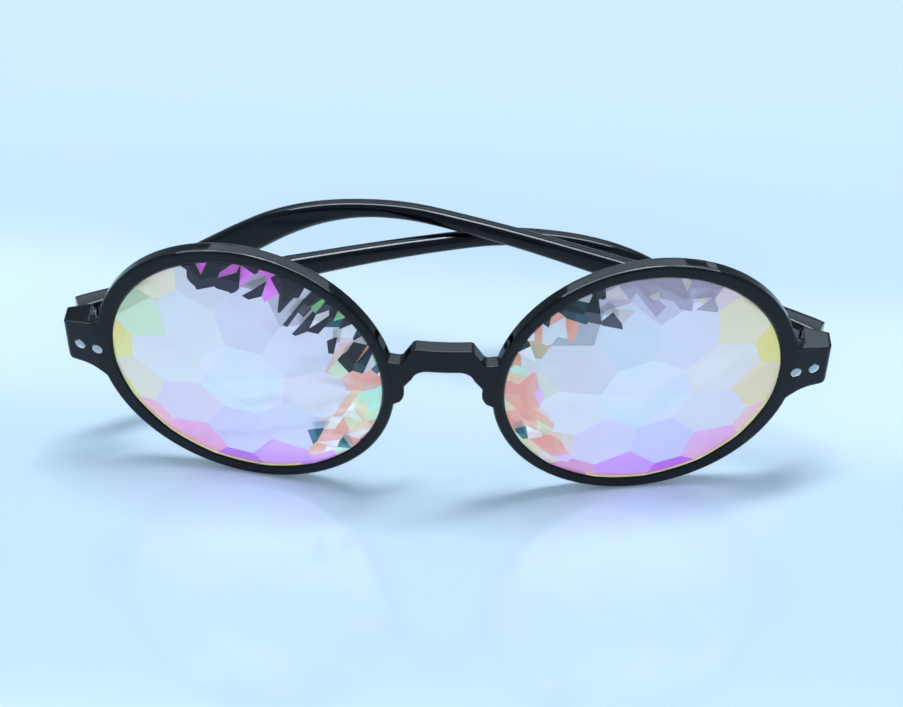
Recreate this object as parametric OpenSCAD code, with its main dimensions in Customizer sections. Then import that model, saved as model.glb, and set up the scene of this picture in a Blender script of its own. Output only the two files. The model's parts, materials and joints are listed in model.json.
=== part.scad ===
// Folding glasses with round rims and faceted prism lenses.
// The front leans forward on its two rims, with the temples folded and crossed behind it.
// Most pieces are drawn in the frame of the front: X to the right, Y back, Z up, lens centres at height 0.

/* [Front] */
// Gap between the two rims at the nose
rim_gap = 16.6; // [14:0.2:20]
// Outer diameter of each round rim
rim_d = 55.6; // [50:0.2:62]
// Width of the rim's front face, from its outer edge to the lens opening
rim_w = 2.7; // [2:0.1:3.4]
// How far the lens opening lies towards the nose from the middle of its rim
lens_shift = 0.5; // [0:0.1:0.8]
// Depth of the rim from front to back
rim_depth = 2.8; // [2.6:0.1:4]
// Rounding of the rim's edges
rim_edge = 0.6; // [0.2:0.1:0.8]
// Angle by which each rim wraps back towards its temple
wrap = 10; // [0:0.5:14]
// Forward lean of the whole front as it rests
lean = 10; // [0:0.5:14]

/* [Bridge] */
// Height of the bridge's top edge above the lens centres
bridge_top = 11.4; // [10:0.1:14]
// Height of the bridge bar
bridge_h = 5.1; // [3.5:0.1:6]
// Width of the raised part of the bridge
bridge_w = 11.2; // [8:0.1:12]
// Depth of the step from the raised part down to the rims
bridge_step = 4; // [2.5:0.1:4.4]
// Thickness of the bridge from front to back
bridge_t = 2.5; // [2.2:0.1:3.6]
// How far the moulded nose pads stand out behind the rims
pad_proud = 3; // [2:0.1:5]

/* [End pieces] */
// How far each end piece reaches beyond its rim
end_reach = 6.2; // [5.8:0.1:8]
// Thickness of the end piece at its outer end
end_t = 3.6; // [3.2:0.1:4.4]
// Height of the end piece at its outer end
end_h = 9.1; // [7.5:0.1:10]
// Height of the middle of the end piece against the lens centres
end_z = -0.65; // [-3:0.05:1]
// Angle by which the top of the end piece falls towards its outer end
end_fall = 13; // [0:1:18]
// Angle by which the end piece sweeps back
end_sweep = 20; // [16:0.5:28]
// Radius of the fillet over the end piece, where it meets its rim
top_fillet = 2.6; // [1.5:0.1:3]
// Radius of the fillet under the end piece
end_fillet = 6; // [3:0.1:7]

/* [Lenses] */
// Depth by which the lens sits in the rim's groove
lens_seat = 0.9; // [0.5:0.05:1.2]
// Thickness of the lens in the groove
lens_edge = 1.6; // [1:0.1:2]
// Height of the flat table above the middle plane of the lens
table_z = 4.2; // [3.4:0.1:6]
// Radius of the dome that the front facets touch
dome_r = 100; // [80:1:160]
// Height of the flat back behind the middle plane of the lens
culet_z = 2.9; // [2.4:0.1:4]
// Radius of the dome that the back facets touch
back_r = 160; // [120:1:220]
// Number of facets round the table
facets = 8; // [6:1:10]
// Clearance between the lens and its groove
lens_gap = 0.05; // [0.02:0.01:0.1]

/* [Temples] */
// Length of the temple behind the hinge pin, along its curve
temple_length = 141.3; // [130:0.2:150]
// Thickness of the temple
temple_t = 3; // [2.6:0.1:3.4]
// Extra thickness of the temple at its butt end, on the outer side
butt_extra = 0.6; // [0:0.1:0.8]
// Height of the temple at the hinge
butt_h = 8.4; // [7.4:0.1:9]
// Height of the temple at its slimmest place
waist_h = 3.4; // [3:0.1:4.5]
// How far the middle line of the temple sinks behind the hinge
settle = 1.3; // [0:0.1:2]
// Height of the ear hook
hook_h = 7.2; // [5:0.1:8]
// Distance from the pin to the slimmest place
waist_at = 86; // [75:1:95]
// Distance from the pin to the start of the ear hook's bend
bend_at = 76.6; // [70:1:85]
// Radius of the ear hook's bend
bend_r = 58; // [45:1:80]
// Angle of the ear hook
bend_angle = 38; // [25:1:45]
// Radius of the temple's outward bow
bow_r = 275; // [240:5:400]
// Rounding of the temple's long edges
temple_edge = 0.7; // [0.4:0.1:1]

/* [Hinges] */
// Distance of the hinge pins from the outer ends of the front
pin_inset = 3.7; // [3.4:0.1:4]
// Height of the hinge's middle against the lens centres
hinge_z = -1.45; // [-3:0.05:0]
// Outer radius of the hinge knuckles
knuckle_r = 1.25; // [1.15:0.05:1.25]
// Height of the whole stack of knuckles
knuckle_stack = 5.6; // [5:0.1:6]
// Gap between the knuckles, along the pin
knuckle_gap = 0.08; // [0.04:0.01:0.2]
// Diameter of the hinge screw's shank
screw_d = 1.2; // [1.1:0.05:1.3]
// Radial clearance of the screw in the knuckles
screw_gap = 0.04; // [0.02:0.01:0.08]
// How far the pin lies inside the temple's inner face
pin_in = 0.35; // [0.2:0.05:0.5]
// Distance from the pin forward to the temple's butt end
butt_lead = 1.9; // [1.2:0.05:2.1]
// Gap between the butt end and the end piece when the temple is fully open
butt_gap = 0.35; // [0.35:0.05:0.5]
// Clearance between the knuckles and the notch in the temple
notch_gap = 0.35; // [0.3:0.05:0.4]
// Thickness of the hinge leaves
leaf_t = 0.8; // [0.6:0.05:1]
// Diameter of the rivets
rivet_d = 2; // [1.6:0.1:2.1]
// Clearance of a rivet in its hole
rivet_gap = 0.02; // [0.01:0.01:0.05]

/* [Pose] */
// Heading of the folded right temple, from the line through the pins
fold_right = 31.4; // [20:0.2:45]
// Heading of the folded left temple, from the line through the pins
fold_left = 30.6; // [20:0.2:45]
// Heading of a fully open temple, from the line through the pins
open_heading = 98; // [90:0.5:102]
// Sideways cant of both hinge pins, which lifts the right temple over the left
cant = 1.85; // [1.6:0.05:3]

/* [Hidden] */

// Length of the blocks and cutters that reach right through a piece
reach = 60;
// Smallest overlap by which a cutter passes a face
past = 0.5;

rim_r = rim_d / 2;
rim_front = rim_depth / 2;
opening_r = rim_r - rim_w;
seat_r = opening_r + lens_seat;
lens_r = seat_r - lens_gap;
crown_r = opening_r - lens_gap;
lens_x = rim_gap / 2 + rim_r * cos(wrap) + rim_front * sin(wrap);

// Place where the rim's outermost point lies, seen from above
rim_end = [lens_x + rim_r * cos(wrap), rim_r * sin(wrap)];
// Front face of the rim there, where the end piece's front face starts
sweep_start = rim_end + rim_front * [sin(wrap), -cos(wrap)];
sweep_dir = [cos(end_sweep), sin(end_sweep)];
sweep_normal = [-sin(end_sweep), cos(end_sweep)];
land_from = sweep_start.x - 1.7;
land_top_from = sweep_start.x + 0.9;
front_half = sweep_start.x + end_reach;
sweep_length = end_reach / sweep_dir.x;
// Flat back of the end piece, and the hinge pin behind it
land_y = sweep_start.y + end_reach * tan(end_sweep) + end_t;
pin_x = front_half - pin_inset;
pin_y = land_y + butt_gap + butt_lead;

// The bridge is a band of a round arc that leaves each rim along the rim's own plane
bridge_side = rim_gap / 2;
bridge_r = bridge_side / sin(max(wrap, 2));
bridge_edge_y = -rim_r * sin(wrap) - rim_front * cos(wrap);
bridge_front_y = bridge_edge_y - bridge_r * (1 - cos(max(wrap, 2))) + 0.1;
bridge_corner_r = 1.1;
bridge_slope = 2.4;
under_r = 2.9;
nose_side = [5.9, 0.6];
nose_side_r = 4.6;
nose_step = [0.5, -4.6];
nose_step_r = 1.6;

// Nose pads, as radii from the lens centre
pad_from = rim_r - 2.4;
pad_to = rim_r - 0.2;
pad_top_w = 0.8;
pad_ball_r = 9;

// Corners and edges of the end pieces
outer_corner_r = 0.9;
end_draft = 0.4;
leaf_room = 0.4;

// Rivets of the end pieces, by place across the front
rivet_x = [sweep_start.x - 0.1, sweep_start.x + 3.2];
rivet_z = end_z - 0.25;
rivet_r = rivet_d / 2;
rivet_hole_r = rivet_r + rivet_gap;
leaf_h = 5.2;
front_leaf_x = [land_from + 0.2, front_half - 1.4];
temple_leaf_s = [1.7, 12];
temple_rivet_s = [4.6, 9.4];

screw_r = screw_d / 2;
pin_hole_r = screw_r + screw_gap;
head_r = knuckle_r - 0.25;
head_h = 0.6;
knuckle_h = (knuckle_stack - 2 * knuckle_gap) / 3;
arm_w = 1.7;
notch_r = knuckle_r + notch_gap;
temple_mid = temple_t / 2 - pin_in;

// Sizes of the temple's curve
butt_start = butt_lead + 1.5;
thick_to = 15;
settle_to = 50;
flat_to = 10;
hook_full_at = temple_length - 19;
tip_round = 3.6;
ring_step = 3.2;

// Heights and depths that put the origin on the ground, under the middle of the whole
ground = (rim_r - rim_edge) * sqrt(pow(sin(wrap) * sin(lean), 2) + pow(cos(lean), 2))
    + (rim_front - rim_edge) * cos(wrap) * sin(lean) + rim_edge;
front_most = bridge_front_y * cos(lean) - bridge_top * sin(lean);
back_most = max([for (s = [40:2:temple_length]) back_reach(s)]);
middle_y = (front_most + back_most) / 2;

function arc(centre, r, from, to, steps = 6) =
    [for (i = [0:steps]) let (a = from + (to - from) * i / steps) centre + r * [cos(a), sin(a)]];
function ease(u) = let (v = min(max(u, 0), 1)) v * v * (3 - 2 * v);

// Temple curve in its own plane: x outwards, y along, z up, with the pin on the axis x = y = 0
function bow_angle(s) = s / bow_r * 180 / PI;
function drop_angle(s) = min(max((s - bend_at) / bend_r * 180 / PI, 0), bend_angle);
function along(s) = s <= bend_at ? s
    : let (a = drop_angle(s), over = bend_at + bend_r * a * PI / 180)
        bend_at + bend_r * sin(a) + max(s - over, 0) * cos(bend_angle);
function dropped(s) = s <= bend_at ? 0
    : let (a = drop_angle(s), over = bend_at + bend_r * a * PI / 180)
        bend_r * (1 - cos(a)) + max(s - over, 0) * sin(bend_angle);
function temple_point(s) = let (b = bow_angle(along(s)))
    [temple_mid - bow_r * (1 - cos(b)), bow_r * sin(b), -dropped(s) - settle * ease(s / settle_to)];
function sag(s) = bow_r * (1 - cos(bow_angle(s)));
function thickening(s) = butt_extra * pow(max(1 - max(s, 0) / thick_to, 0), 2);
function temple_height(s) = let (
        taper = pow(max(1 - max(s - flat_to, 0) / (waist_at - flat_to), 0), 2),
        swell = ease((s - waist_at) / (hook_full_at - waist_at)),
        left = (temple_length - s) / tip_round)
    (waist_h + (butt_h - waist_h) * taper + (hook_h - waist_h) * swell)
        * (left < 1 ? sqrt(max(1 - pow(1 - left, 2), 0.04)) : 1);

// How far back the folded right temple reaches at a distance s, in the standing frame
function back_reach(s) = let (
        b = bow_angle(along(s)),
        out = temple_t / 2 * [cos(b), sin(b), 0],
        low = [0, 0, temple_edge - temple_height(s) / 2 * cos(drop_angle(s))],
        n = temple_point(s) + out + low,
        turn = 90 - fold_right,
        x = n.x * cos(turn) - n.y * sin(turn),
        y = pin_y + n.x * sin(turn) + n.y * cos(turn),
        z = hinge_z + n.z * cos(cant) - x * sin(cant))
    y * cos(lean) - z * sin(lean);

// Frames

module standing() {
    translate([0, -middle_y, ground]) rotate([lean, 0, 0]) children();
}

module mirrored(side) {
    mirror([side < 0 ? 1 : 0, 0, 0]) children();
}

// At a lens: x outwards, y up, z towards the front
module at_lens(side) {
    mirrored(side) translate([lens_x, 0, 0]) rotate([0, 0, wrap]) rotate([90, 0, 0]) children();
}

// The same, at the middle of the lens and its opening
module at_opening(side) {
    at_lens(side) translate([-lens_shift, 0, 0]) children();
}

// At a hinge pin, canted, with the front fixed
module at_pin(side) {
    translate([side * pin_x, pin_y, hinge_z]) rotate([0, cant, 0]) mirrored(side) children();
}

// The same, turned with the folded temple: x outwards, y along the temple
module at_temple(side) {
    at_pin(side) rotate([0, 0, 90 - (side < 0 ? fold_left : fold_right)]) children();
}

// Front

module rim_solid(side) {
    e = rim_edge;
    f = rim_front;
    outline = concat(
        [[opening_r - lens_seat, -f]],
        arc([rim_r - e, -f + e], e, -90, 0, 4),
        arc([rim_r - e, f - e], e, 0, 90, 4),
        [[opening_r - lens_seat, f]]);
    at_lens(side) rotate_extrude($fn = 120) polygon(outline);
}

module lens_seat_cut(side) {
    half = lens_edge / 2 + lens_gap;
    bevel = 0.35;
    outline = [
        [0, -rim_front * 4], [opening_r, -rim_front * 4], [opening_r, -half],
        [seat_r, -half], [seat_r, half], [opening_r, half],
        [opening_r, rim_front - bevel], [opening_r + bevel, rim_front],
        [opening_r + bevel, rim_front * 4], [0, rim_front * 4]];
    at_opening(side) rotate_extrude($fn = 120) polygon(outline);
}

// Outline of the bridge from the front, right half first
function bridge_half() = let (
        half = bridge_w / 2,
        notch = bridge_top - bridge_step,
        under = bridge_top - bridge_h,
        into = bridge_side + rim_w + lens_seat)
    concat(
        arc([half - bridge_corner_r, bridge_top - bridge_corner_r], bridge_corner_r, 90, 20),
        arc([half + bridge_slope, notch + bridge_corner_r], bridge_corner_r, 200, 270),
        [[into, notch], [into, nose_step.y - rim_w]],
        arc([bridge_side, 0] + nose_step, nose_step_r, 10, 80, 4),
        arc([half, 0] + nose_side, nose_side_r, 215, 165, 4),
        arc([half - under_r, under - under_r], under_r, 15, 90));

module bridge_solid() {
    half = bridge_half();
    count = len(half);
    outline = concat(half, [for (i = [count - 1:-1:0]) [-half[i].x, half[i].y]]);
    intersection() {
        rotate([90, 0, 0]) linear_extrude(reach, center = true) polygon(outline);
        translate([0, bridge_front_y + bridge_r, 0]) difference() {
            cylinder(h = reach, r = bridge_r, center = true, $fn = 180);
            cylinder(h = reach + 1, r = bridge_r - bridge_t, center = true, $fn = 180);
        }
    }
}

module end_plan(side) {
    into_rim = -(rim_w + lens_seat) * [cos(wrap), sin(wrap)];
    outline = concat(
        [sweep_start + into_rim, sweep_start],
        arc(sweep_start + (sweep_length - outer_corner_r) * sweep_dir + outer_corner_r * sweep_normal,
            outer_corner_r, end_sweep - 90, -4, 4),
        [[front_half - end_draft, land_y], [land_from, land_y], rim_end + into_rim]);
    mirrored(side) linear_extrude(reach, center = true) polygon(outline);
}

function rim_side(z) = lens_x + cos(wrap) * sqrt(pow(rim_r, 2) - pow(z, 2));

module end_face(side) {
    top = end_z + end_h / 2;
    low = end_z - end_h / 2;
    under_z = low - end_fillet;
    under_x = rim_side(under_z) + end_fillet - 0.15;
    over_z = top + (front_half - rim_side(top + 1.5 * top_fillet) - top_fillet) * tan(end_fall)
        + top_fillet / cos(end_fall);
    over_x = rim_side(over_z) + top_fillet - 0.15;
    outline = concat(
        [[lens_x + opening_r, under_z], [lens_x + opening_r, over_z]],
        arc([over_x, over_z], top_fillet, 180, 270 - end_fall, 8),
        arc([front_half - outer_corner_r, top - outer_corner_r], outer_corner_r, 90 - end_fall, 0, 3),
        arc([front_half - outer_corner_r - end_draft, low + outer_corner_r], outer_corner_r, -10, -90, 4),
        [[under_x, low], [under_x, under_z]]);
    mirrored(side) rotate([90, 0, 0]) linear_extrude(reach, center = true) difference() {
        polygon(outline);
        translate([under_x, under_z]) circle(end_fillet, $fn = 64);
    }
}

module end_piece(side) {
    difference() {
        intersection() {
            end_plan(side);
            end_face(side);
        }
        // Behind the rim the block is no taller than the leaf needs
        mirrored(side) translate([land_top_from - reach, rim_end.y, rivet_z + leaf_h / 2 + leaf_room])
            cube(reach);
    }
}

// A nose pad is a lip on the back of the rim, cut to a crown by a ball
module nose_pad(side) {
    top = -rim_front - pad_proud;
    swell = -rim_front - pad_proud * 0.6;
    middle = (pad_from + pad_to) / 2;
    lip = [[pad_from, past - rim_front], [pad_to, past - rim_front], [pad_to, swell],
        [middle + pad_top_w / 2, top], [middle - pad_top_w / 2, top], [pad_from + pad_top_w / 2, swell]];
    at_lens(side) intersection() {
        rotate([0, 0, 160]) rotate_extrude(angle = 60, $fn = 120) polygon(lip);
        rotate([0, 0, 190]) translate([middle, 0, top + pad_ball_r]) sphere(pad_ball_r, $fn = 64);
    }
}

module front_frame() {
    color([0.06, 0.06, 0.07]) standing() difference() {
        union() {
            for (side = [-1, 1]) {
                rim_solid(side);
                end_piece(side);
                nose_pad(side);
            }
            bridge_solid();
        }
        for (side = [-1, 1]) {
            lens_seat_cut(side);
            front_leaf_plate(side);
            front_leaf_arms(side);
            for (i = [0, 1]) rivet_shape(side, i, rivet_hole_r);
        }
    }
}

// Lenses

// Everything above the plane that touches a dome at radius rho
module above_facet(rho, azimuth, apex, radius) {
    rotate([0, 0, azimuth]) translate([rho, 0, apex - rho * rho / (2 * radius)])
        rotate([0, atan(rho / radius), 0]) translate([-reach, -reach, 0]) cube([2 * reach, 2 * reach, reach]);
}

// Cuts a ring of flat facets into the children, one after the other
module facet_ring(rho, first, apex, radius, count = facets) {
    if (count == 0) {
        children();
    } else {
        difference() {
            facet_ring(rho, first, apex, radius, count - 1) children();
            above_facet(rho, first + (count - 1) * 360 / facets, apex, radius);
        }
    }
}

module lens(side) {
    // Azimuth of the first facet, and the radii where the rings of facets touch their domes
    turn = side < 0 ? 186 : 16.5;
    half_turn = turn + 180 / facets;
    main_at = 15.6;
    kite_at = 22;
    edge_at = 26.5;
    back_at = 19;
    back_edge_at = 31;
    color([0.86, 0.9, 1, 0.6]) standing() at_opening(side) union() {
        cylinder(h = lens_edge, r = lens_r, center = true, $fn = 120);
        facet_ring(main_at, turn, table_z, dome_r)
            facet_ring(kite_at, half_turn, table_z, dome_r)
            facet_ring(edge_at, turn, table_z, dome_r)
            cylinder(h = table_z, r = crown_r, $fn = 120);
        mirror([0, 0, 1]) facet_ring(back_at, half_turn, culet_z, back_r)
            facet_ring(back_edge_at, turn, culet_z, back_r)
            cylinder(h = culet_z, r = crown_r, $fn = 120);
    }
}

// Temples

function temple_ring(s) = let (
        p = temple_point(s),
        b = bow_angle(along(s)),
        d = drop_angle(s),
        out = [cos(b), sin(b), 0],
        up = [-sin(b) * sin(d), cos(b) * sin(d), cos(d)],
        half_t = (temple_t + thickening(s)) / 2,
        half_h = temple_height(s) / 2,
        e = min(temple_edge, half_h * 0.7),
        quarter = [[1, 0], [cos(45), sin(45)], [0, 1]])
    [for (q = [0:3], k = [0:2]) let (
            sx = q == 0 || q == 3 ? 1 : -1,
            sz = q < 2 ? 1 : -1,
            c = q % 2 == 0 ? quarter[k] : quarter[2 - k])
        p + out * (thickening(s) / 2 + sx * (half_t - e + e * c.x)) + up * sz * (half_h - e + e * c.y)];

module temple_blade() {
    straight = [for (s = [-butt_start:ring_step:temple_length - tip_round]) s];
    tip = [for (a = [0:15:90]) temple_length - tip_round * (1 - sin(a))];
    rings = concat(straight, tip);
    count = len(rings);
    sides = 12;
    points = [for (s = rings) each temple_ring(s)];
    walls = [for (i = [0:count - 2], j = [0:sides - 1]) let (
            a = i * sides + j, b = i * sides + (j + 1) % sides)
        each [[a, b, a + sides], [b, b + sides, a + sides]]];
    start_cap = [for (j = [sides - 1:-1:0]) j];
    end_cap = [for (j = [0:sides - 1]) (count - 1) * sides + j];
    polyhedron(points, concat(walls, [start_cap, end_cap]));
}

module temple(side) {
    color([0.06, 0.06, 0.07]) standing() at_temple(side) difference() {
        temple_blade();
        rotate([0, 0, open_heading - 90]) translate([-reach / 2, -butt_lead - reach, -reach / 2])
            cube(reach);
        knuckle_notch();
        temple_leaf_plate(out = 1, early = 0.8);
        for (i = [0, 1]) temple_rivet_shape(i, rivet_hole_r, past, past);
    }
}

// Hinges

// The three knuckles are counted from the bottom up
function knuckle_low(i) = -knuckle_stack / 2 + i * (knuckle_h + knuckle_gap);

module knuckle(i) {
    translate([0, 0, knuckle_low(i)]) cylinder(h = knuckle_h, r = knuckle_r, $fn = 48);
}

module pin_hole() {
    cylinder(h = reach, r = pin_hole_r, center = true, $fn = 48);
}

// Set flush in the back of the end piece
module front_leaf_plate(side) {
    mirrored(side) translate([front_leaf_x[0], land_y - leaf_t, rivet_z - leaf_h / 2])
        cube([front_leaf_x[1] - front_leaf_x[0], leaf_t, leaf_h]);
}

// From the plate back to the outer two knuckles
module front_leaf_arms(side) {
    arm_l = pin_y - land_y + leaf_t / 2;
    at_pin(side) for (i = [0, 2]) {
        knuckle(i);
        translate([-arm_w / 2, -arm_l, knuckle_low(i)]) cube([arm_w, arm_l, knuckle_h]);
    }
}

module front_leaf(side) {
    color([0.7, 0.72, 0.75]) standing() difference() {
        union() {
            front_leaf_plate(side);
            front_leaf_arms(side);
        }
        at_pin(side) {
            pin_hole();
            translate([0, 0, knuckle_stack / 2 - head_h]) cylinder(h = reach, r = head_r + screw_gap, $fn = 48);
        }
        for (i = [0, 1]) rivet_shape(side, i, rivet_hole_r);
    }
}

// Along the chord of the temple's inner face, and sunk in it; a pocket reaches further out of that face
module temple_leaf_plate(out = 0, early = 0) {
    middle = (temple_leaf_s[0] + temple_leaf_s[1]) / 2;
    turn = bow_angle(middle);
    rotate([0, 0, turn]) translate([sag(middle) - pin_in - out, temple_leaf_s[0] - early, -leaf_h / 2])
        cube([leaf_t + out, temple_leaf_s[1] - temple_leaf_s[0] + early, leaf_h]);
}

// Room in the temple for the knuckles and for the arms of the front leaf, all the way open
module knuckle_notch() {
    notch_h = knuckle_stack + 2 * knuckle_gap + 0.4;
    cylinder(h = notch_h, r = notch_r, center = true, $fn = 48);
    translate([-reach, -reach, -notch_h / 2]) cube([reach + arm_w / 2 + notch_gap + 0.15, reach, notch_h]);
}

module temple_leaf(side) {
    color([0.7, 0.72, 0.75]) standing() at_temple(side) difference() {
        union() {
            temple_leaf_plate();
            knuckle(1);
            translate([-pin_in, 0, knuckle_low(1)]) cube([leaf_t, temple_leaf_s[0] + 0.5, knuckle_h]);
        }
        pin_hole();
        for (i = [0, 1]) temple_rivet_shape(i, rivet_hole_r, 0, past);
    }
}

module hinge_screw(side) {
    top = knuckle_stack / 2;
    color([0.75, 0.77, 0.8]) standing() at_pin(side) difference() {
        union() {
            translate([0, 0, -top]) cylinder(h = knuckle_stack - head_h, r = screw_r, $fn = 48);
            translate([0, 0, top - head_h]) cylinder(h = head_h, r = head_r, $fn = 48);
        }
        translate([0, 0, top]) cube([reach, 0.3, 0.6], center = true);
    }
}

// Rivets

// Straight back through the end piece and the front leaf
module rivet_shape(side, i, r) {
    mirrored(side) translate([rivet_x[i], 0, rivet_z]) rotate([-90, 0, 0])
        cylinder(h = land_y, r = r, $fn = 48);
}

// Flush with the rim and with the swept face of the end piece
module front_rivet(side, i) {
    color([0.8, 0.82, 0.85]) standing() difference() {
        rivet_shape(side, i, rivet_r);
        mirrored(side) translate([sweep_start.x, sweep_start.y, 0]) rotate([0, 0, end_sweep])
            translate([-reach / 2, -reach, -reach / 2]) cube(reach);
        at_lens(side) translate([-reach / 2, -reach / 2, rim_front]) cube(reach);
    }
}

// Through the temple and its leaf, with extra length inwards and outwards
module temple_rivet_shape(i, r, more_in, more_out) {
    s = temple_rivet_s[i];
    face_in = -pin_in - sag(s);
    translate([face_in - more_in, s, 0]) rotate([0, 90, 0])
        cylinder(h = temple_t + thickening(s) + more_in + more_out, r = r, $fn = 48);
}

module temple_rivet(side, i) {
    color([0.8, 0.82, 0.85]) standing() at_temple(side) temple_rivet_shape(i, rivet_r, 0, 0);
}

front_frame();
lens(-1);  // lens_left
lens(1);  // lens_right
temple(-1);  // temple_left
temple(1);  // temple_right
front_leaf(-1);  // front_leaf_left
front_leaf(1);  // front_leaf_right
temple_leaf(-1);  // temple_leaf_left
temple_leaf(1);  // temple_leaf_right
hinge_screw(-1);  // hinge_screw_left
hinge_screw(1);  // hinge_screw_right
front_rivet(-1, 0);  // front_rivet_left_inner
front_rivet(-1, 1);  // front_rivet_left_outer
front_rivet(1, 0);  // front_rivet_right_inner
front_rivet(1, 1);  // front_rivet_right_outer
temple_rivet(-1, 0);  // temple_rivet_left_front
temple_rivet(-1, 1);  // temple_rivet_left_back
temple_rivet(1, 0);  // temple_rivet_right_front
temple_rivet(1, 1);  // temple_rivet_right_back
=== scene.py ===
import bpy
import json
import math
from mathutils import Matrix, Vector

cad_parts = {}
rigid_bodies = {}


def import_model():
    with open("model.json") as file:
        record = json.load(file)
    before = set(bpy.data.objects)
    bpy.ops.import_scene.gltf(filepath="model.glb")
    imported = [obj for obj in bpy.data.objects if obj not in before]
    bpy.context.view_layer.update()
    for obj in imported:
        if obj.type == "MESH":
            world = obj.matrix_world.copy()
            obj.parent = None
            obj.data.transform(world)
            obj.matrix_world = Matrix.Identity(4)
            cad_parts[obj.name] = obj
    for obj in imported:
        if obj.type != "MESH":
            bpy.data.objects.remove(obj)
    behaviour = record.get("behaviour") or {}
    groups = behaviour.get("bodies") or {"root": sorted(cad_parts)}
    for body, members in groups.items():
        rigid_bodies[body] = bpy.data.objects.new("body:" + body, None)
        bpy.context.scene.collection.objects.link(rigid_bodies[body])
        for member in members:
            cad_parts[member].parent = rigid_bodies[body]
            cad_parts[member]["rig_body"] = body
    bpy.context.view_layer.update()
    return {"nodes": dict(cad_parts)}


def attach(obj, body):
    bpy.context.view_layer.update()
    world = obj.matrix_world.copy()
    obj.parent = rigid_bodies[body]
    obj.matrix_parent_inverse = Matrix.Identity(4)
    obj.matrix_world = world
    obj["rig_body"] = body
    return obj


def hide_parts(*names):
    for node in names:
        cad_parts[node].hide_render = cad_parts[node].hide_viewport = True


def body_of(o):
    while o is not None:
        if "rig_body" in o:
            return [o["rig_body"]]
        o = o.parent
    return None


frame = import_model()
nodes = frame["nodes"]
mm = 0.001

# Place of the front, as in the CAD source: lens centres in millimetres, lean and wrap of the rims in degrees
front = {
    "lensX": 35.921, "openingShift": 0.5, "ground": 27.536, "middleY": 24.491, "lean": 10.0, "wrap": 10.0}


# Colour from channels that run to 255, as a screen shows them
def tint(red, green, blue):
    channels = [channel / 255 for channel in (red, green, blue)]
    return [c / 12.92 if c <= 0.04045 else ((c + 0.055) / 1.055) ** 2.4 for c in channels] + [1.0]


# Node helpers: each takes numbers, colours or other nodes' sockets, and returns what its own node puts out
def feed(tree, socket, value):
    if isinstance(value, bpy.types.NodeSocket):
        tree.links.new(value, socket)
    else:
        socket.default_value = value


def calc(tree, operation, *values):
    node = tree.nodes.new("ShaderNodeMath")
    node.operation = operation
    for socket, value in zip(node.inputs, values):
        feed(tree, socket, value)
    return node.outputs[0]


def vectorCalc(tree, operation, *values, output="Vector"):
    node = tree.nodes.new("ShaderNodeVectorMath")
    node.operation = operation
    for socket, value in zip(node.inputs, values):
        feed(tree, socket, value)
    return node.outputs[output]


def split(tree, vector):
    node = tree.nodes.new("ShaderNodeSeparateXYZ")
    feed(tree, node.inputs[0], vector)
    return node.outputs


def join(tree, x, y, z=0.0):
    node = tree.nodes.new("ShaderNodeCombineXYZ")
    for socket, value in zip(node.inputs, (x, y, z)):
        feed(tree, socket, value)
    return node.outputs[0]


def smooth(tree, value, low, high, toLow=0.0, toHigh=1.0):
    node = tree.nodes.new("ShaderNodeMapRange")
    node.interpolation_type = "SMOOTHSTEP"
    for socket, number in zip(node.inputs, (value, low, high, toLow, toHigh)):
        feed(tree, socket, number)
    return node.outputs[0]


def mixColor(tree, factor, first, second):
    node = tree.nodes.new("ShaderNodeMix")
    node.data_type = "RGBA"
    feed(tree, node.inputs["Factor"], factor)
    feed(tree, node.inputs[6], first)
    feed(tree, node.inputs[7], second)
    return node.outputs[2]


def ramp(tree, factor, stops, steps=False):
    node = tree.nodes.new("ShaderNodeValToRGB")
    colors = node.color_ramp
    colors.interpolation = "CONSTANT" if steps else "LINEAR"
    while len(colors.elements) < len(stops):
        colors.elements.new(1.0)
    for element, (position, color) in zip(colors.elements, stops):
        element.position = position
        element.color = color
    feed(tree, node.inputs["Fac"], factor)
    return node.outputs["Color"]


def cells(tree, vector, size):
    node = tree.nodes.new("ShaderNodeTexVoronoi")
    node.voronoi_dimensions = "2D"
    feed(tree, node.inputs["Vector"], vector)
    node.inputs["Scale"].default_value = 1 / size
    return node.outputs


def noise(tree, vector, size, detail=3.0):
    node = tree.nodes.new("ShaderNodeTexNoise")
    feed(tree, node.inputs["Vector"], vector)
    node.inputs["Scale"].default_value = 1 / size
    node.inputs["Detail"].default_value = detail
    return node.outputs["Fac"]


def useGroup(tree, group, **inputs):
    node = tree.nodes.new("ShaderNodeGroup")
    node.node_tree = group
    for name, value in inputs.items():
        feed(tree, node.inputs[name], value)
    return node.outputs


def newGroup(name, inputs, outputs):
    group = bpy.data.node_groups.new(name, "ShaderNodeTree")
    for label, kind, default in inputs:
        socket = group.interface.new_socket(label, in_out="INPUT", socket_type="NodeSocket" + kind)
        if default is not None:
            socket.default_value = default
    for label, kind in outputs:
        group.interface.new_socket(label, in_out="OUTPUT", socket_type="NodeSocket" + kind)
    return group, group.nodes.new("NodeGroupInput").outputs, group.nodes.new("NodeGroupOutput").inputs


def newMaterial(name, **settings):
    material = bpy.data.materials.new(name)
    material.use_nodes = True
    tree = material.node_tree
    shader = tree.nodes["Principled BSDF"].inputs
    for key, value in settings.items():
        shader[key.replace("_", " ")].default_value = value
    place = tree.nodes.new("ShaderNodeTexCoord").outputs["Object"]
    return material, tree, shader, place


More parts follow.
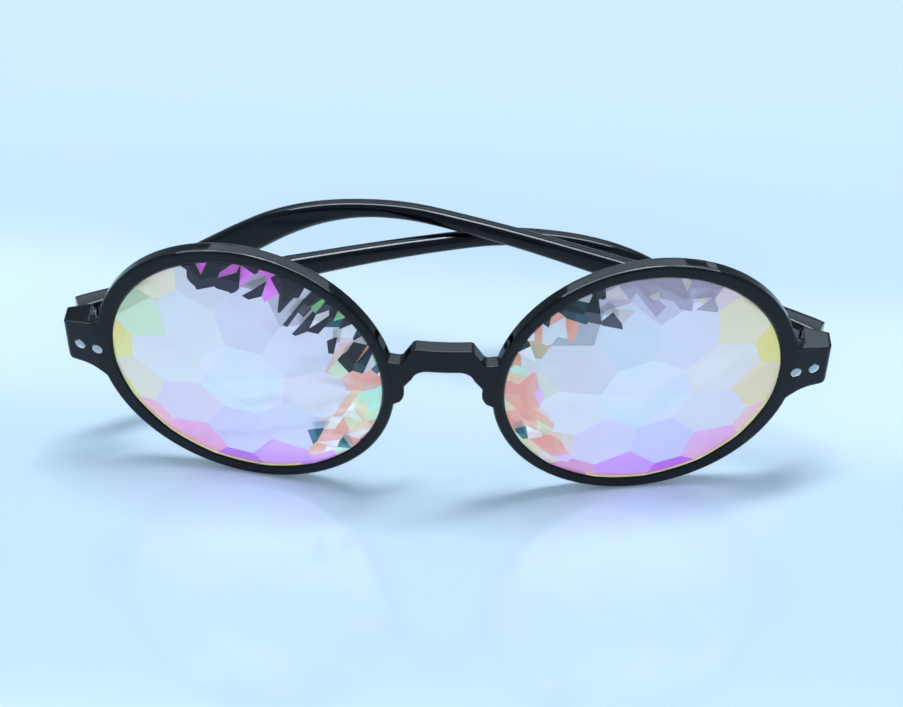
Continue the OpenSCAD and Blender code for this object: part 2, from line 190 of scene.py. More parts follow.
# Camera, at the photograph's angle: places in millimetres and roll in degrees
camera = {
    "place": (9.91, -329.14, 241.04), "target": (1.24, -25.68, 32.18), "roll": 0.99,
    "focal": 82.46, "sensor": 36}
station, target = Vector(camera["place"]) * mm, Vector(camera["target"]) * mm
back = (station - target).normalized()
right = Vector((0, 0, 1)).cross(back).normalized()
up = back.cross(right)
roll = math.radians(camera["roll"])
rolledRight = math.cos(roll) * right + math.sin(roll) * up
rolledUp = math.cos(roll) * up - math.sin(roll) * right
aim = Matrix((rolledRight, rolledUp, back)).transposed().to_4x4()
cameraData = bpy.data.cameras.new("camera")
cameraData.lens = camera["focal"]
cameraData.sensor_width = camera["sensor"]
cameraData.clip_start = 0.01
cameraObject = bpy.data.objects.new("camera", cameraData)
bpy.context.collection.objects.link(cameraObject)
cameraObject.matrix_world = Matrix.Translation(station) @ aim
bpy.context.scene.camera = cameraObject
print("camera placed")

# Floor and background, in metres: the floor is painted darker under and before the glasses, a painted shade
# for the light falling off there
stage = {
    "reach": 6.0, "floorColor": (0.575, 0.69, 0.78, 1), "nearFloorShade": (0.475, 0.595, 0.71, 1), "nearTo": 0.0,
    "farFrom": 0.2, "floorRoughness": 0.09, "floorShine": 0.45, "worldColor": (0.6, 0.82, 1.0, 1),
    "worldStrength": 0.62}
reach = stage["reach"]
floorCorners = [(-reach, -reach, 0), (reach, -reach, 0), (reach, reach, 0), (-reach, reach, 0)]
floorMesh = bpy.data.meshes.new("floor")
floorMesh.from_pydata(floorCorners, [], [(0, 1, 2, 3)])
floor = bpy.data.objects.new("floor", floorMesh)
bpy.context.collection.objects.link(floor)
floorMaterial, tree, shader, place = newMaterial(
    "paleGlossBoard", Roughness=stage["floorRoughness"], Specular_IOR_Level=stage["floorShine"])
# Painted shade: the darker near floor colour fades into the floor colour further back
distance = smooth(tree, split(tree, place)[1], stage["nearTo"], stage["farFrom"])
feed(tree, shader["Base Color"], mixColor(tree, distance, stage["nearFloorShade"], stage["floorColor"]))
floor.data.materials.append(floorMaterial)

world = bpy.data.worlds.new("studio")
bpy.context.scene.world = world
world.use_nodes = True
background = world.node_tree.nodes["Background"]
background.inputs["Color"].default_value = stage["worldColor"]
background.inputs["Strength"].default_value = stage["worldStrength"]

# Lamps, in metres and watts: the two long tubes show only in polished surfaces
lampAim = Vector((0, 0, 0.02))
lamps = {
    "keyBox": {"at": (0.03, -0.05, 1.2), "size": (0.7, 0.16), "power": 11.0, "color": (0.94, 0.97, 1.0)},
    "backStrip": {"at": (0.1, 1.25, 0.85), "size": (1.6, 0.14), "power": 1.6, "color": (0.94, 0.97, 1.0)},
    "frontBox": {"at": (0.0, -1.15, 0.55), "size": (1.6, 0.7), "power": 8.5, "color": (1.0, 0.96, 0.95),
                 "mirrored": False},
    "edgeTube": {"at": (0.0, -0.04, 1.3), "size": (3.2, 0.4), "power": 105.0, "color": (0.72, 0.87, 1.0),
                 "lighting": False},
    "rearTube": {"at": (0.0, 0.72, 1.08), "size": (3.0, 0.42), "power": 12.0, "color": (0.72, 0.87, 1.0),
                 "lighting": False}}
for name, use in lamps.items():
    lampData = bpy.data.lights.new(name, "AREA")
    lampData.shape = "RECTANGLE"
    lampData.size, lampData.size_y = use["size"]
    lampData.energy = use["power"]
    lampData.color = use["color"]
    lamp = bpy.data.objects.new(name, lampData)
    bpy.context.collection.objects.link(lamp)
    lamp.location = use["at"]
    lamp.rotation_euler = (lampAim - Vector(use["at"])).to_track_quat("-Z", "Y").to_euler()
    lamp.visible_glossy = use.get("mirrored", True)
    lamp.visible_diffuse = use.get("lighting", True)
print("stage and light ready")

# Polished surfaces: faint handling marks in the roughness, and a slight waviness from the tumbling drum
markPattern = {"smearFrom": 0.45, "smearTo": 0.75, "dustSize": 0.03, "dustFrom": 0.72, "dustTo": 0.78}
handling, given, made = newGroup(
    "handlingMarks",
    [("Vector", "Vector", None), ("Roughness", "Float", 0.1), ("Marks", "Float", 0.1),
     ("Size", "Float", 0.004)],
    [("Roughness", "Float"), ("Height", "Float")])
sizes = join(handling, given["Size"], given["Size"], given["Size"])
scaled = vectorCalc(handling, "DIVIDE", given["Vector"], sizes)
smear = noise(handling, scaled, 1.0)
smears = smooth(handling, smear, markPattern["smearFrom"], markPattern["smearTo"])
specks = noise(handling, scaled, markPattern["dustSize"], 1.0)
dust = smooth(handling, specks, markPattern["dustFrom"], markPattern["dustTo"])
worn = calc(handling, "MULTIPLY", given["Marks"], calc(handling, "ADD", smears, dust))
feed(handling, made["Roughness"], calc(handling, "ADD", given["Roughness"], worn))
feed(handling, made["Height"], smear)

# Black acetate of the front and temples; the last four values soften its edges and set the waviness
acetateLook = {
    "color": (0.0005, 0.0012, 0.0026, 1), "shine": 0.24, "roughness": 0.04, "marks": 0.05, "markSize": 0.012,
    "edgeRadius": 0.00045, "edgeSamples": 6, "waveStrength": 0.06, "waveDepth": 0.0004}


def blackAcetate(look):
    material, tree, shader, place = newMaterial(
        "blackAcetate", Base_Color=look["color"], IOR=1.5, Specular_IOR_Level=look["shine"])
    marks = useGroup(
        tree, handling, Vector=place, Roughness=look["roughness"], Marks=look["marks"], Size=look["markSize"])
    feed(tree, shader["Roughness"], marks["Roughness"])
    edge = tree.nodes.new("ShaderNodeBevel")
    edge.samples = look["edgeSamples"]
    edge.inputs["Radius"].default_value = look["edgeRadius"]
    bump = tree.nodes.new("ShaderNodeBump")
    bump.inputs["Strength"].default_value = look["waveStrength"]
    bump.inputs["Distance"].default_value = look["waveDepth"]
    feed(tree, bump.inputs["Height"], marks["Height"])
    feed(tree, bump.inputs["Normal"], edge.outputs[0])
    feed(tree, shader["Normal"], bump.outputs[0])
    return material


metalLooks = {
    "satinNickel": {"color": (0.24, 0.24, 0.25, 1), "roughness": 0.32, "marks": 0.15, "markSize": 0.002},
    "rivetSteel": {"color": (0.46, 0.47, 0.48, 1), "roughness": 0.24, "marks": 0.15, "markSize": 0.002}}


def satinMetal(name):
    look = metalLooks[name]
    material, tree, shader, place = newMaterial(name, Base_Color=look["color"], Metallic=1.0)
    marks = useGroup(
        tree, handling, Vector=place, Roughness=look["roughness"], Marks=look["marks"], Size=look["markSize"])
    feed(tree, shader["Roughness"], marks["Roughness"])
    return material


# Turn round the lens: 0 at the nose, 0.25 below, 0.5 outside and 0.75 above
def lensTurn(tree, x, y):
    return calc(tree, "ADD", calc(tree, "DIVIDE", calc(tree, "ARCTAN2", y, x), 2 * math.pi), 0.5)


def lengthOf(tree, x, y):
    return vectorCalc(tree, "LENGTH", join(tree, x, y), output="Value")


# Which way a facet looks, and how far it leans off the lens's axis
facing, given, made = newGroup(
    "facetFacing", [("Normal", "Vector", None)], [("Turn", "Float"), ("Lean", "Float")])
x, y, _ = split(facing, given["Normal"])
feed(facing, made["Turn"], lensTurn(facing, x, y))
feed(facing, made["Lean"], lengthOf(facing, x, y))

# Lens pattern: facet leans, then shard sizes and reaches in millimetres, and zones by turn round the lens
lensPattern = {
    "tableLean": 0.1, "ringLean": 0.27, "facetRate": 13.7,
    "shardSize": 3.0, "slant": 0.4, "squash": 0.75, "halfPick": 0.41, "halfReach": 2.0, "pickReach": 1.5,
    "noseTurn": 0.05, "noseSpan": 0.085, "noseBack": 0.06, "noseFrom": 20.0,
    "topTurn": 0.82, "topSpan": 0.14, "topFade": (0.72, 0.88), "topFrom": (22.2, 21.4),
    "highTurn": 0.74, "highSpan": 0.06, "glintOver": 0.83,
    # Last: place and colour of the painted highlight on the lens's bevelled rim
    "highlightFrom": 24.3, "highlightTo": 24.7, "highlightTurn": 0.32, "highlightSpan": 0.13, "rimHighlight": tint(255, 246, 170)}
middleTints = [(0.0, tint(226, 234, 252)), (0.5, tint(240, 236, 252)), (1.0, tint(224, 242, 247))]
# Fragments towards the nose and shards under the top of the rim, picked at random
fragmentTints = [
    (0.00, tint(250, 190, 172)), (0.24, tint(205, 255, 238)), (0.36, tint(255, 255, 255)),
    (0.50, tint(250, 176, 162)), (0.66, tint(228, 244, 200)), (0.76, tint(30, 96, 112)),
    (0.83, tint(246, 222, 190)), (0.93, tint(244, 200, 250))]
# The shards' dark tints are painted: they stand for the dark room and frame seen in the facets
shardTints = [
    (0.00, tint(10, 10, 18)), (0.30, tint(226, 230, 236)), (0.42, tint(22, 22, 30)),
    (0.58, tint(250, 252, 255)), (0.68, tint(18, 56, 66)), (0.76, tint(240, 160, 130)),
    (0.83, tint(52, 46, 58)), (0.92, tint(140, 214, 130))]


def prismFacets(use):
    tree, given, made = newGroup(
        "prismFacets",
        [("Vector", "Vector", None), ("Turn", "Float", 0.0), ("Lean", "Float", 0.0),
         ("Ring", "Color", tint(255, 255, 255)), ("Shade", "Color", tint(20, 18, 28)),
         ("Glint", "Color", tint(240, 120, 235)), ("Seed", "Float", 0.0)],
        [("Color", "Color")])

    def op(operation, *values):
        return calc(tree, operation, *values)

    x, y, _ = split(tree, given["Vector"])
    offset = join(tree, given["Seed"], given["Seed"])
    # Big facets: the table is pale, and each ring outwards takes more of the coating's colour
    facetPick = op("FRACT", op("MULTIPLY_ADD", given["Turn"], use["facetRate"], given["Seed"]))
    middle = ramp(tree, facetPick, middleTints)
    coating = smooth(tree, given["Lean"], use["tableLean"], use["ringLean"])
    color = mixColor(tree, coating, middle, given["Ring"])
    # Slanted shards, each split in two by a straight cut
    slanted = join(tree, op("MULTIPLY_ADD", y, use["slant"], x), op("MULTIPLY", y, use["squash"]))
    slanted = vectorCalc(tree, "ADD", slanted, offset)
    shard = cells(tree, slanted, use["shardSize"])
    pick = split(tree, shard["Color"])
    inX, inY, _ = split(tree, vectorCalc(tree, "SUBTRACT", slanted, shard["Position"]))
    cutTurn = op("MULTIPLY", pick[2], 2 * math.pi)
    cutSide = op("ADD", op("MULTIPLY", inX, op("COSINE", cutTurn)), op("MULTIPLY", inY, op("SINE", cutTurn)))
    half = op("GREATER_THAN", cutSide, 0.0)
    choice = op("FRACT", op("MULTIPLY_ADD", half, use["halfPick"], pick[0]))
    # Where each shard lies on the lens: its turn and its reach from the middle, a little ragged
    cellX, cellY, _ = split(tree, vectorCalc(tree, "SUBTRACT", shard["Position"], offset))
    cellY = op("DIVIDE", cellY, use["squash"])
    cellX = op("MULTIPLY_ADD", cellY, -use["slant"], cellX)
    cellTurn = lensTurn(tree, cellX, cellY)
    ragged = op("MULTIPLY_ADD", half, use["halfReach"], op("MULTIPLY", pick[1], use["pickReach"]))
    cellReach = op("ADD", lengthOf(tree, cellX, cellY), ragged)
    # Zone of fragments towards the nose, on both sides of turn 0
    noseAhead = op("COMPARE", cellTurn, use["noseTurn"], use["noseSpan"])
    noseBehind = op("COMPARE", cellTurn, 1.0, use["noseBack"])
    noseTurns = op("MAXIMUM", noseAhead, noseBehind)
    noseZone = op("MULTIPLY", noseTurns, op("GREATER_THAN", cellReach, use["noseFrom"]))
    color = mixColor(tree, noseZone, color, ramp(tree, choice, fragmentTints, steps=True))
    # Zone of shards under the top, whose highest part is a painted reflection of the dark room, with a few
    # painted bright glints
    topFrom = smooth(tree, cellTurn, *use["topFade"], *use["topFrom"])
    topTurns = op("COMPARE", cellTurn, use["topTurn"], use["topSpan"])
    topZone = op("MULTIPLY", topTurns, op("GREATER_THAN", cellReach, topFrom))
    shards = ramp(tree, choice, shardTints, steps=True)
    glinting = op("GREATER_THAN", choice, use["glintOver"])
    highShards = mixColor(tree, glinting, given["Shade"], given["Glint"])
    shards = mixColor(tree, op("COMPARE", cellTurn, use["highTurn"], use["highSpan"]), shards, highShards)
    color = mixColor(tree, topZone, color, shards)
    # Painted highlight: the bevelled rim of the lens is painted bright where it dips into the groove, below
    # and outside, for the light it catches there
    rimZone = smooth(tree, lengthOf(tree, x, y), use["highlightFrom"], use["highlightTo"])
    highlightTurns = op("COMPARE", lensTurn(tree, x, y), use["highlightTurn"], use["highlightSpan"])
    feed(tree, made["Color"], mixColor(tree, op("MULTIPLY", rimZone, highlightTurns), color, use["rimHighlight"]))
    return tree


prism = prismFacets(lensPattern)

# Lenses: the ring holds the colours that the coated edge facets throw, by their turn round each lens
acrylic = {"roughness": 0.02, "ior": 1.49, "transmission": 0.6, "shadowPass": 0.55}
# Each lens's shade and glint colours are the painted reflection and painted glints of its highest shards
lensLooks = {
    "left": {
        "side": -1, "seed": 3.0, "reflection": tint(14, 10, 22), "glint": tint(240, 120, 235),
        "ring": [
            (0.00, tint(255, 190, 172)), (0.08, tint(250, 200, 190)), (0.13, tint(236, 160, 255)),
            (0.19, tint(224, 62, 255)), (0.27, tint(196, 90, 255)), (0.31, tint(255, 76, 196)),
            (0.38, tint(255, 104, 168)), (0.43, tint(250, 240, 215)), (0.50, tint(255, 232, 104)),
            (0.57, tint(214, 255, 176)), (0.64, tint(250, 240, 190)), (0.70, tint(214, 214, 205)),
            (0.80, tint(120, 120, 130)), (0.88, tint(230, 225, 225)), (0.94, tint(250, 190, 170)),
            (1.00, tint(255, 190, 172))]},
    "right": {
        "side": 1, "seed": 41.0, "reflection": tint(168, 158, 174), "glint": tint(214, 204, 196),
        "ring": [
            (0.00, tint(220, 250, 220)), (0.10, tint(250, 220, 190)), (0.15, tint(250, 180, 165)),
            (0.20, tint(224, 62, 255)), (0.30, tint(212, 70, 255)), (0.35, tint(255, 78, 210)),
            (0.40, tint(255, 160, 220)), (0.46, tint(255, 218, 140)), (0.53, tint(255, 224, 112)),
            (0.58, tint(255, 248, 116)), (0.64, tint(250, 225, 190)), (0.70, tint(205, 195, 210)),
            (0.80, tint(190, 180, 196)), (0.87, tint(120, 130, 134)), (0.94, tint(225, 190, 130)),
            (1.00, tint(220, 250, 220))]}}


def prismAcrylic(name, look):
    material, tree, shader, place = newMaterial(
        name, Roughness=acrylic["roughness"], IOR=acrylic["ior"], Transmission_Weight=acrylic["transmission"])
    # Object coordinates and normals turned into the lens's own plane, in millimetres, with x outwards
    unwrap = Matrix.Rotation(math.radians(-front["wrap"]), 3, "Z")
    upright = Matrix.Rotation(math.radians(-front["lean"]), 3, "X")
    turned = Matrix.Rotation(math.radians(-90), 3, "X") @ unwrap @ upright
    centre = Vector((front["lensX"], -front["middleY"], front["ground"]))
    toMiddle = Vector((front["openingShift"], 0, 0)) - turned @ centre
    normal = tree.nodes.new("ShaderNodeTexCoord").outputs["Normal"]
    planes = []
    for source, scale, shift in ((place, 1 / mm, toMiddle), (normal, 1, Vector((0, 0, 0)))):
        mapping = tree.nodes.new("ShaderNodeMapping")
        feed(tree, mapping.inputs["Vector"], source)
        mapping.inputs["Scale"].default_value = (look["side"] * scale, scale, scale)
        mapping.inputs["Rotation"].default_value = turned.to_euler()
        mapping.inputs["Location"].default_value = shift
        planes.append(mapping.outputs[0])
    facet = useGroup(tree, facing, Normal=planes[1])
    color = useGroup(
        tree, prism, Vector=planes[0], Turn=facet["Turn"], Lean=facet["Lean"], Seed=look["seed"],
        Ring=ramp(tree, facet["Turn"], look["ring"]), Shade=look["reflection"], Glint=look["glint"])
    feed(tree, shader["Base Color"], color["Color"])
    # About half of the light passes on to the floor, so the rims' shadow stays a ring
    shadowRay = tree.nodes.new("ShaderNodeLightPath").outputs["Is Shadow Ray"]
    feed(tree, shader["Alpha"], calc(tree, "MULTIPLY_ADD", shadowRay, -acrylic["shadowPass"], 1.0))
    return material


acetate = blackAcetate(acetateLook)
nickel = satinMetal("satinNickel")
rivetSteel = satinMetal("rivetSteel")
leftAcrylic = prismAcrylic("prismAcrylicLeft", lensLooks["left"])
rightAcrylic = prismAcrylic("prismAcrylicRight", lensLooks["right"])
print("materials ready")

# Temples: a swept bar with rounded edges, in the hinge's frame: x outwards, y along the bar, z along the pin
temple = {
    "Length": 141.3, "Thickness": 3.0, "Butt Extra": 0.6, "Thick To": 15.0, "Butt Height": 8.4,
    "Flat To": 10.0, "Waist Height": 3.4, "Waist At": 86.0, "Hook Height": 7.2, "Hook Full At": 122.3,
    "Bend At": 76.6, "Bend Radius": 58.0, "Bend Angle": math.radians(38), "Bow Radius": 275.0,
    "Settle": 1.3, "Settle To": 50.0, "Edge": 1.3, "Butt Edge": 0.6, "Edge Full At": 30.0,
    "Tip Round": 3.6, "Butt Start": 3.4, "Pin In": 0.35}
templeCuts = {
    "lead": 1.9, "slope": math.radians(8), "notchR": 1.6, "notchH": 6.16, "notchX": 1.35,
    "leafS": (0.9, 12.0), "leafH": 5.2, "leafT": 0.8, "pocketOver": 1.0, "rivetS": (4.6, 9.4),
    "rivetR": 1.02, "drillDepth": 12.0, "block": 40.0}
templePlace = {"pin": (66.0415, -12.8599, 28.1147), "cant": 1.85, "fold": {"left": 30.6, "right": 31.4}}
# Mesh of the bar: points at each corner, rings along it, share of them before the tip, and the cutters' sides
templeMesh = {
    "cornerPoints": 6, "rings": 96, "barShare": 0.9, "leastTip": 0.04, "edgeShare": 0.7, "sides": 48}


def newTree(name, sizes):
    tree = bpy.data.node_groups.new(name, "GeometryNodeTree")
    for label, value in sizes.items():
        socket = tree.interface.new_socket(label, in_out="INPUT", socket_type="NodeSocketFloat")
        socket.default_value = value
    tree.interface.new_socket("Material", in_out="INPUT", socket_type="NodeSocketMaterial")
    tree.interface.new_socket("Geometry", in_out="OUTPUT", socket_type="NodeSocketGeometry")
    return tree, tree.nodes.new("NodeGroupInput").outputs, tree.nodes.new("NodeGroupOutput").inputs


def geometry(tree, kind, inputs, **settings):
    node = tree.nodes.new("GeometryNode" + kind)
    for key, value in settings.items():
        setattr(node, key, value)
    for name, value in inputs.items():
        feed(tree, node.inputs[name], value)
    return node.outputs[0]


def placed(tree, mesh, at, turn=(0.0, 0.0, 0.0)):
    return geometry(tree, "Transform", {"Geometry": mesh, "Translation": at, "Rotation": turn})


def finishTree(tree, mesh, given, made):
    real = geometry(tree, "RealizeInstances", {"Geometry": mesh})
    finished = geometry(tree, "SetMaterial", {"Geometry": real, "Material": given["Material"]})
    feed(tree, made["Geometry"], finished)


def templeTree(cut, mesh):
    tree, given, made = newTree("templeSweep", temple)
    length, tipRound = given["Length"], given["Tip Round"]
    bendAt, bendRadius, bendAngle = given["Bend At"], given["Bend Radius"], given["Bend Angle"]
    bowRadius, flatTo = given["Bow Radius"], given["Flat To"]
    waistAt, waist = given["Waist At"], given["Waist Height"]

    def op(operation, *values):
        return calc(tree, operation, *values)

    def eased(value):
        return smooth(tree, value, 0.0, 1.0)

    def times(vector, amount):
        return vectorCalc(tree, "MULTIPLY", vector, join(tree, amount, amount, amount))

    around = 4 * mesh["cornerPoints"]
    bar = geometry(tree, "MeshCylinder", {
        "Vertices": around, "Side Segments": mesh["rings"], "Radius": 1.0, "Depth": 1.0})
    x, y, z = split(tree, geometry(tree, "InputPosition", {}))
    # Distance s along the temple: even steps, then closer rings round the tip
    share = op("ADD", z, 0.5)
    toTip = op("SUBTRACT", length, tipRound)
    straight = op("MULTIPLY", op("DIVIDE", share, mesh["barShare"]), op("ADD", toTip, given["Butt Start"]))
    straight = op("SUBTRACT", straight, given["Butt Start"])
    tipShare = op("DIVIDE", op("SUBTRACT", share, mesh["barShare"]), 1 - mesh["barShare"])
    tipAt = op("ADD", toTip, op("MULTIPLY", tipRound, op("SINE", op("MULTIPLY", tipShare, math.pi / 2))))
    inTip = op("GREATER_THAN", share, mesh["barShare"])
    s = op("ADD", op("MULTIPLY", inTip, tipAt), op("MULTIPLY", op("SUBTRACT", 1.0, inTip), straight))
    # Ear hook: how far it has bent, how far along its chord, and how far down
    bend = op("MAXIMUM", op("DIVIDE", op("SUBTRACT", s, bendAt), bendRadius), 0.0)
    bend = op("MINIMUM", bend, bendAngle)
    before = op("MINIMUM", s, bendAt)
    after = op("MAXIMUM", op("SUBTRACT", s, op("MULTIPLY_ADD", bendRadius, bendAngle, bendAt)), 0.0)
    along = op("ADD", op("MULTIPLY_ADD", bendRadius, op("SINE", bend), before),
               op("MULTIPLY", after, op("COSINE", bendAngle)))
    down = op("ADD", op("MULTIPLY", bendRadius, op("SUBTRACT", 1.0, op("COSINE", bend))),
              op("MULTIPLY", after, op("SINE", bendAngle)))
    sunk = op("MULTIPLY", given["Settle"], eased(op("DIVIDE", s, given["Settle To"])))
    # Bow: the bar curves inwards along an arc that starts at the pin
    bow = op("DIVIDE", along, bowRadius)
    middle = op("SUBTRACT", op("MULTIPLY", given["Thickness"], 0.5), given["Pin In"])
    inwards = op("MULTIPLY", bowRadius, op("SUBTRACT", 1.0, op("COSINE", bow)))
    centre = join(tree, op("SUBTRACT", middle, inwards), op("MULTIPLY", bowRadius, op("SINE", bow)),
                  op("MULTIPLY", op("ADD", down, sunk), -1.0))
    outward = join(tree, op("COSINE", bow), op("SINE", bow))
    upward = join(tree, op("MULTIPLY", op("MULTIPLY", op("SINE", bow), op("SINE", bend)), -1.0),
                  op("MULTIPLY", op("COSINE", bow), op("SINE", bend)), op("COSINE", bend))
    # Section: thicker at the butt, slim at the waist, high again at the hook and rounded off at the tip
    thin = op("SUBTRACT", 1.0, op("DIVIDE", op("MAXIMUM", s, 0.0), given["Thick To"]))
    thin = op("MAXIMUM", thin, 0.0)
    extra = op("MULTIPLY", given["Butt Extra"], op("MULTIPLY", thin, thin))
    past = op("MAXIMUM", op("SUBTRACT", s, flatTo), 0.0)
    taper = op("SUBTRACT", 1.0, op("DIVIDE", past, op("SUBTRACT", waistAt, flatTo)))
    taper = op("MAXIMUM", taper, 0.0)
    hookRun = op("SUBTRACT", given["Hook Full At"], waistAt)
    swell = eased(op("DIVIDE", op("SUBTRACT", s, waistAt), hookRun))
    taper = op("MULTIPLY", taper, taper)
    height = op("MULTIPLY_ADD", op("SUBTRACT", given["Butt Height"], waist), taper, waist)
    height = op("MULTIPLY_ADD", op("SUBTRACT", given["Hook Height"], waist), swell, height)
    left = op("MINIMUM", op("DIVIDE", op("SUBTRACT", length, s), tipRound), 1.0)
    rounding = op("SUBTRACT", 1.0, op("POWER", op("SUBTRACT", 1.0, left), 2.0))
    rounding = op("SQRT", op("MAXIMUM", rounding, mesh["leastTip"]))
    halfHeight = op("MULTIPLY", op("MULTIPLY", height, rounding), 0.5)
    halfThick = op("MULTIPLY", op("ADD", given["Thickness"], extra), 0.5)
    rounder = eased(op("DIVIDE", s, given["Edge Full At"]))
    rounder = op("MULTIPLY", op("SUBTRACT", given["Edge"], given["Butt Edge"]), rounder)
    edge = op("ADD", given["Butt Edge"], rounder)
    edge = op("MINIMUM", edge, op("MULTIPLY", halfHeight, mesh["edgeShare"]))
    # Each point's corner and its angle within that corner's round
    step = op("ADD", op("DIVIDE", op("ARCTAN2", y, x), 2 * math.pi), 1.0)
    step = op("FLOORED_MODULO", op("ROUND", op("MULTIPLY", step, float(around))), float(around))
    corner = op("FLOOR", op("DIVIDE", op("ADD", step, 0.1), float(mesh["cornerPoints"])))
    inCorner = op("SUBTRACT", step, op("MULTIPLY", corner, float(mesh["cornerPoints"])))
    angle = op("ADD", corner, op("DIVIDE", inCorner, mesh["cornerPoints"] - 1.0))
    angle = op("MULTIPLY", angle, math.pi / 2)
    quarter = op("MULTIPLY", op("ADD", corner, 0.5), math.pi / 2)
    across = op("ADD", op("MULTIPLY", op("SIGN", op("COSINE", quarter)), op("SUBTRACT", halfThick, edge)),
                op("MULTIPLY", edge, op("COSINE", angle)))
    across = op("ADD", across, op("MULTIPLY", extra, 0.5))
    over = op("ADD", op("MULTIPLY", op("SIGN", op("SINE", quarter)), op("SUBTRACT", halfHeight, edge)),
              op("MULTIPLY", edge, op("SINE", angle)))
    spot = vectorCalc(tree, "ADD", centre, times(outward, across))
    spot = vectorCalc(tree, "ADD", spot, times(upward, over))
    blade = geometry(tree, "SetPosition", {"Geometry": bar, "Position": spot})
    # Cuts: sloped butt, notch for the knuckles, pocket for the leaf and holes for the rivets
    block, lead, slope = cut["block"], cut["lead"], cut["slope"]
    off = lead + block / 2
    butt = placed(tree, geometry(tree, "MeshCube", {"Size": (block, block, block)}),
                  (math.sin(slope) * off, -math.cos(slope) * off, 0.0), (0.0, 0.0, slope))
    bore = geometry(tree, "MeshCylinder", {
        "Vertices": mesh["sides"], "Radius": cut["notchR"], "Depth": cut["notchH"]})
    notch = placed(tree, geometry(tree, "MeshCube", {"Size": (block, block, cut["notchH"])}),
                   (cut["notchX"] - block / 2, -block / 2, 0.0))
    leafFrom, leafTo = cut["leafS"]
    leafLean = (leafFrom + leafTo) / 2 / temple["Bow Radius"]
    sag = temple["Bow Radius"] * (1 - math.cos(leafLean))
    leafIn = sag - temple["Pin In"] + (cut["leafT"] - cut["pocketOver"]) / 2
    pocketAt = Matrix.Rotation(leafLean, 3, "Z") @ Vector((leafIn, (leafFrom + leafTo) / 2, 0))
    pocket = geometry(tree, "MeshCube", {
        "Size": (cut["leafT"] + cut["pocketOver"], leafTo - leafFrom, cut["leafH"])})
    pocket = placed(tree, pocket, pocketAt, (0.0, 0.0, leafLean))
    holes = []
    for rivetAt in cut["rivetS"]:
        drill = geometry(tree, "MeshCylinder", {
            "Vertices": mesh["sides"], "Radius": cut["rivetR"], "Depth": cut["drillDepth"]})
        holes.append(placed(tree, drill, (0.0, rivetAt, 0.0), (0.0, math.pi / 2, 0.0)))
    for cutter in (butt, bore, notch, pocket, *holes):
        difference = tree.nodes.new("GeometryNodeMeshBoolean")
        difference.operation = "DIFFERENCE"
        feed(tree, difference.inputs["Mesh 1"], blade)
        feed(tree, difference.inputs["Mesh 2"], cutter)
        blade = difference.outputs["Mesh"]
    finishTree(tree, blade, given, made)
    return tree


# Rivets: two in a row, each a straight shank with a low domed head that looks along -y
rivets = {
    "front": {
        "Step X": 3.3, "Step Y": 1.16, "End": 9.305, "Radius": 1.0, "Dome": 0.16, "Lead": 0.5,
        "First Tilt": math.radians(14), "Tilt Step": math.radians(6)},
    "temple": {
        "Step X": 4.8, "Step Y": 0.327, "End": 3.28, "Radius": 1.0, "Dome": 0.16, "Lead": 0.3,
        "First Tilt": 0.0, "Tilt Step": 0.0}}
rivetPlace = {"front": (63.4415, 3.44, -0.9), "temple": (4.6, -2.9, 0.0)}
rivetMesh = {"sides": 32, "rings": 5, "headDepth": 1.2}


def rivetTree(mesh):
    tree, given, made = newTree("rivetRow", rivets["front"])

    def op(operation, *values):
        return calc(tree, operation, *values)

    def lying(part):
        return placed(tree, part, (0.0, 0.0, 0.0), (math.pi / 2, 0.0, 0.0))

    stride = join(tree, given["Step X"], given["Step Y"])
    row = geometry(tree, "MeshLine", {"Count": 2, "Offset": stride}, mode="OFFSET")
    index = geometry(tree, "InputIndex", {})
    x, y, z = split(tree, geometry(tree, "InputPosition", {}))
    # Shank of unit length along y, stretched from just under the head to the far end
    shank = geometry(tree, "MeshCylinder", {
        "Vertices": mesh["sides"], "Radius": given["Radius"], "Depth": 1.0})
    shank = placed(tree, lying(shank), (0.0, 0.5, 0.0))
    stretch = op("SUBTRACT", op("SUBTRACT", given["End"], y), given["Lead"])
    shanks = geometry(tree, "InstanceOnPoints", {
        "Points": row, "Instance": shank, "Scale": join(tree, 1.0, stretch, 1.0)})
    shanks = placed(tree, shanks, join(tree, 0.0, given["Lead"]))
    # Head: a short disc whose face is raised towards its middle
    disc = geometry(tree, "MeshCylinder", {
        "Vertices": mesh["sides"], "Side Segments": 1, "Fill Segments": mesh["rings"],
        "Radius": given["Radius"], "Depth": mesh["headDepth"]}, fill_type="TRIANGLE_FAN")
    share = op("DIVIDE", lengthOf(tree, x, y), given["Radius"])
    rise = op("MULTIPLY", given["Dome"], op("SUBTRACT", 1.0, op("MULTIPLY", share, share)))
    rise = op("MULTIPLY", rise, op("GREATER_THAN", z, 0.0))
    domed = geometry(tree, "SetPosition", {"Geometry": disc, "Offset": join(tree, 0.0, 0.0, rise)})
    head = lying(placed(tree, domed, (0.0, 0.0, -mesh["headDepth"] / 2)))
    tilt = op("MULTIPLY_ADD", index, given["Tilt Step"], given["First Tilt"])
    heads = geometry(tree, "InstanceOnPoints", {
        "Points": row, "Instance": head, "Rotation": join(tree, 0.0, 0.0, tilt)})
    both = tree.nodes.new("GeometryNodeJoinGeometry")
    feed(tree, both.inputs[0], shanks)
    feed(tree, both.inputs[0], heads)
    finishTree(tree, both.outputs[0], given, made)
    return tree


sharpOver = math.radians(34)


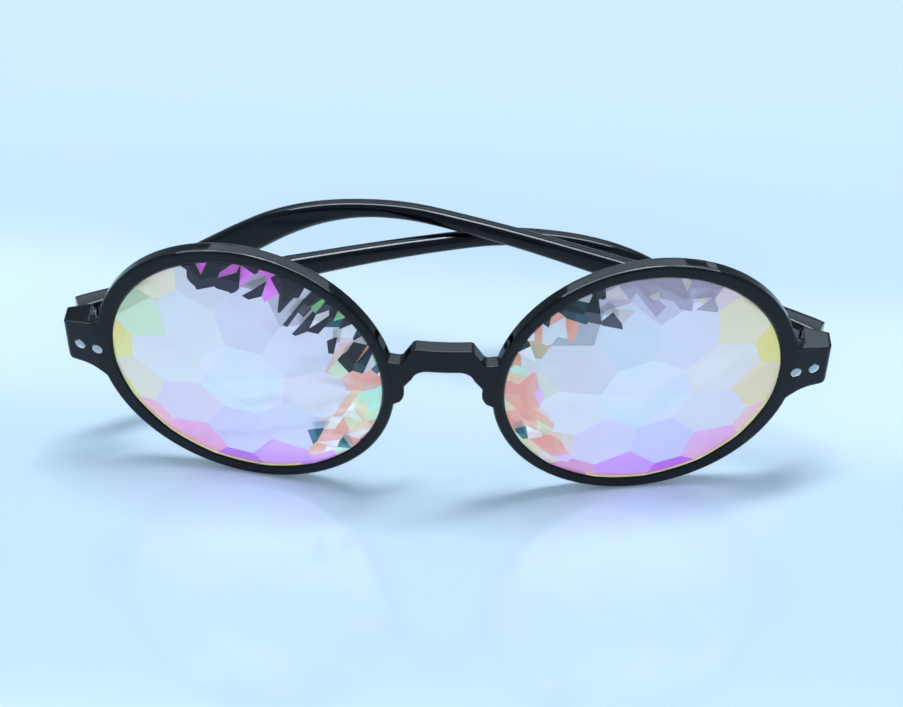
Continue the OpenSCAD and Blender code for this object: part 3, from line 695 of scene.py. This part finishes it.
# Runs a tree with its sizes, keeps the result as a plain mesh in its place, and hands it to a body
def grow(name, tree, sizes, material, place, body, slotName, *replaced):
    carrier = bpy.data.objects.new(name, bpy.data.meshes.new(name))
    bpy.context.collection.objects.link(carrier)
    modifier = carrier.modifiers.new("grow", "NODES")
    modifier.node_group = tree
    values = dict(sizes, Material=material)
    for item in tree.interface.items_tree:
        if item.in_out == "INPUT":
            modifier[item.identifier] = values[item.name]
    carrier.update_tag()
    evaluated = carrier.evaluated_get(bpy.context.evaluated_depsgraph_get())
    mesh = bpy.data.meshes.new_from_object(evaluated)
    carrier.modifiers.remove(modifier)
    mesh.transform(place)
    if place.determinant() < 0:
        mesh.flip_normals()
    for polygon in mesh.polygons:
        polygon.use_smooth = True
    mesh.set_sharp_from_angle(angle=sharpOver)
    carrier.data = mesh
    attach(carrier, body)
    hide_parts(*replaced)


sweep = templeTree(templeCuts, templeMesh)
row = rivetTree(rivetMesh)
toMetres = Matrix.Scale(mm, 4)
leaning = Matrix.Rotation(math.radians(front["lean"]), 4, "X")
standing = toMetres @ Matrix.Translation((0, -front["middleY"], front["ground"])) @ leaning
frontBody = body_of(nodes["front_frame"])[0]
for sideName, side in (("left", -1), ("right", 1)):
    ending = sideName.capitalize()
    mirrored = Matrix.Diagonal((side, 1, 1, 1))
    pin = Vector(templePlace["pin"])
    pin.x *= side
    cant = Matrix.Rotation(math.radians(templePlace["cant"]), 4, "Y")
    opened = Matrix.Rotation(math.radians(90 - templePlace["fold"][sideName]), 4, "Z")
    hinge = toMetres @ Matrix.Translation(pin) @ leaning @ cant @ mirrored @ opened
    body = body_of(nodes["temple_" + sideName])[0]
    grow("templeBar" + ending, sweep, temple, acetate, hinge, body, "black_plastic", "temple_" + sideName)
    # Temple rivets: the row's x runs along the temple, and its heads look outwards
    onTemple = hinge @ Matrix.Rotation(math.pi / 2, 4, "Z") @ Matrix.Translation(rivetPlace["temple"])
    grow("templeRivets" + ending, row, rivets["temple"], rivetSteel, onTemple, body, "rivet_metal",
         "temple_rivet_" + sideName + "_front", "temple_rivet_" + sideName + "_back")
    # Front rivets: their far end is measured in the front's own frame, so the start of the row comes off
    onFront = standing @ mirrored @ Matrix.Translation(rivetPlace["front"])
    frontSizes = dict(rivets["front"], End=rivets["front"]["End"] - rivetPlace["front"][1])
    grow("frontRivets" + ending, row, frontSizes, rivetSteel, onFront, frontBody, "rivet_metal",
         "front_rivet_" + sideName + "_inner", "front_rivet_" + sideName + "_outer")
print("temples and rivets ready")

# Finish of each node, by how its name starts
finishes = {
    "front_frame": acetate, "temple": acetate, "front_leaf": nickel, "temple_leaf": nickel,
    "hinge_screw": nickel, "front_rivet": rivetSteel, "temple_rivet": rivetSteel,
    "lens_left": leftAcrylic, "lens_right": rightAcrylic}
for name, node in nodes.items():
    start = max((key for key in finishes if name.startswith(key)), key=len)
    node.data.materials[0] = finishes[start]
print("materials assigned")

bpy.context.scene.view_settings.view_transform = "Standard"
